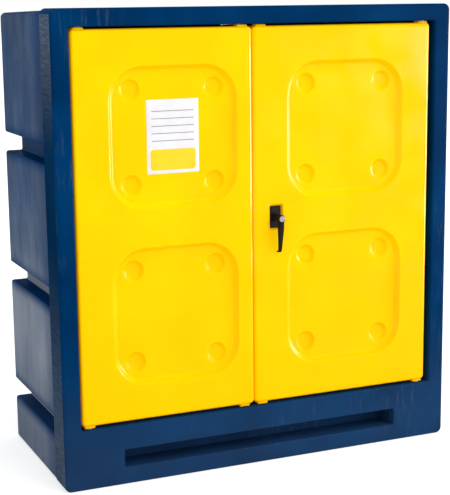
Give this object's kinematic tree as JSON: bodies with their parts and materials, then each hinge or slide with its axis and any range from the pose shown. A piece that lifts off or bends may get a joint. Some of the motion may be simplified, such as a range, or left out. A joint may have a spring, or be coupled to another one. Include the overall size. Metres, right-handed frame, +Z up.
{
  "type": "chemical storage cabinet",
  "caption": "Moulded plastic chemical storage cabinet: a framed body with side grooves and a sump, inset doors with recessed panels, a turning latch handle and lift-out shelves.",
  "frame": {"origin": "middle of the underside of the base", "axes": "+Z up, the doors face -Y, +X to the right of someone facing the doors"},
  "size_m": [1.2, 0.5736, 1.3],
  "materials": {
    "body_blue": "navy moulded polyethylene, satin",
    "door_yellow": "bright yellow moulded polyethylene, satin",
    "black_handle": "black powder coat, satin",
    "black_plastic": "black nylon",
    "lock_chrome": "satin nickel plate",
    "pin_steel": "stainless steel, turned",
    "zinc_plate": "bright zinc plate",
    "screw_steel": "stainless steel",
    "bush_nylon": "natural nylon",
    "label_vinyl": "white vinyl with blank ruled lines",
    "shelf_grey": "grey moulded polyethylene",
    "grid_black": "black moulded polyethylene"
  },
  "bodies": {
    "cabinet": {"cabinet_body": "body_blue", "hinge_pins": "pin_steel", "upper_bolt_strike": "zinc_plate", "lower_bolt_strike": "zinc_plate", "strike_screws": "screw_steel"},
    "left_door": {"left_door": "door_yellow", "left_hinge_bushes": "bush_nylon", "contents_label": "label_vinyl", "latch_keep": "black_plastic", "keep_screws": "screw_steel", "upper_bolt_housing": "zinc_plate", "lower_bolt_housing": "zinc_plate", "bolt_screws": "screw_steel"},
    "upper_bolt": {"upper_bolt_rod": "pin_steel"},
    "lower_bolt": {"lower_bolt_rod": "pin_steel"},
    "right_door": {"right_door": "door_yellow", "right_hinge_bushes": "bush_nylon", "handle_plate": "black_handle", "handle_nut": "zinc_plate"},
    "lever": {"lever": "black_handle", "spindle": "pin_steel", "latch_cam": "zinc_plate", "cam_washer": "zinc_plate", "cam_screw": "screw_steel"},
    "lock_core": {"lock_core": "lock_chrome"},
    "upper_shelf": {"upper_shelf": "shelf_grey"},
    "lower_shelf": {"lower_shelf": "shelf_grey"},
    "sump_grid": {"sump_grid": "grid_black"}
  },
  "joints": [
    {"name": "left_door_swing", "type": "hinge", "parent": "cabinet", "child": "left_door", "pos_m": [-0.522, -0.244, 0.712], "axis": [0, 0, -1], "range_deg": [0, 105]},
    {"name": "right_door_swing", "type": "hinge", "parent": "cabinet", "child": "right_door", "pos_m": [0.515, -0.244, 0.712], "axis": [0, 0, 1], "range_deg": [0, 105]},
    {"name": "lever_turn", "type": "hinge", "parent": "right_door", "child": "lever", "pos_m": [0.04, -0.28, 0.7145], "axis": [0, -1, 0], "range_deg": [0, 90]},
    {"name": "key_turn", "type": "hinge", "parent": "lever", "child": "lock_core", "pos_m": [0.04, -0.298, 0.7145], "axis": [0, -1, 0], "range_deg": [0, 90]},
    {"name": "upper_bolt_slide", "type": "slide", "parent": "left_door", "child": "upper_bolt", "axis": [0, 0, 1], "range_m": [0, 0.02]},
    {"name": "lower_bolt_slide", "type": "slide", "parent": "left_door", "child": "lower_bolt", "axis": [0, 0, -1], "range_m": [0, 0.02]},
    {"name": "upper_shelf_lift", "type": "slide", "parent": "cabinet", "child": "upper_shelf", "axis": [0, 0, 1], "range_m": [0, 0.06]},
    {"name": "lower_shelf_lift", "type": "slide", "parent": "cabinet", "child": "lower_shelf", "axis": [0, 0, 1], "range_m": [0, 0.06]},
    {"name": "sump_grid_lift", "type": "slide", "parent": "cabinet", "child": "sump_grid", "axis": [0, 0, 1], "range_m": [0, 0.08]}
  ]
}
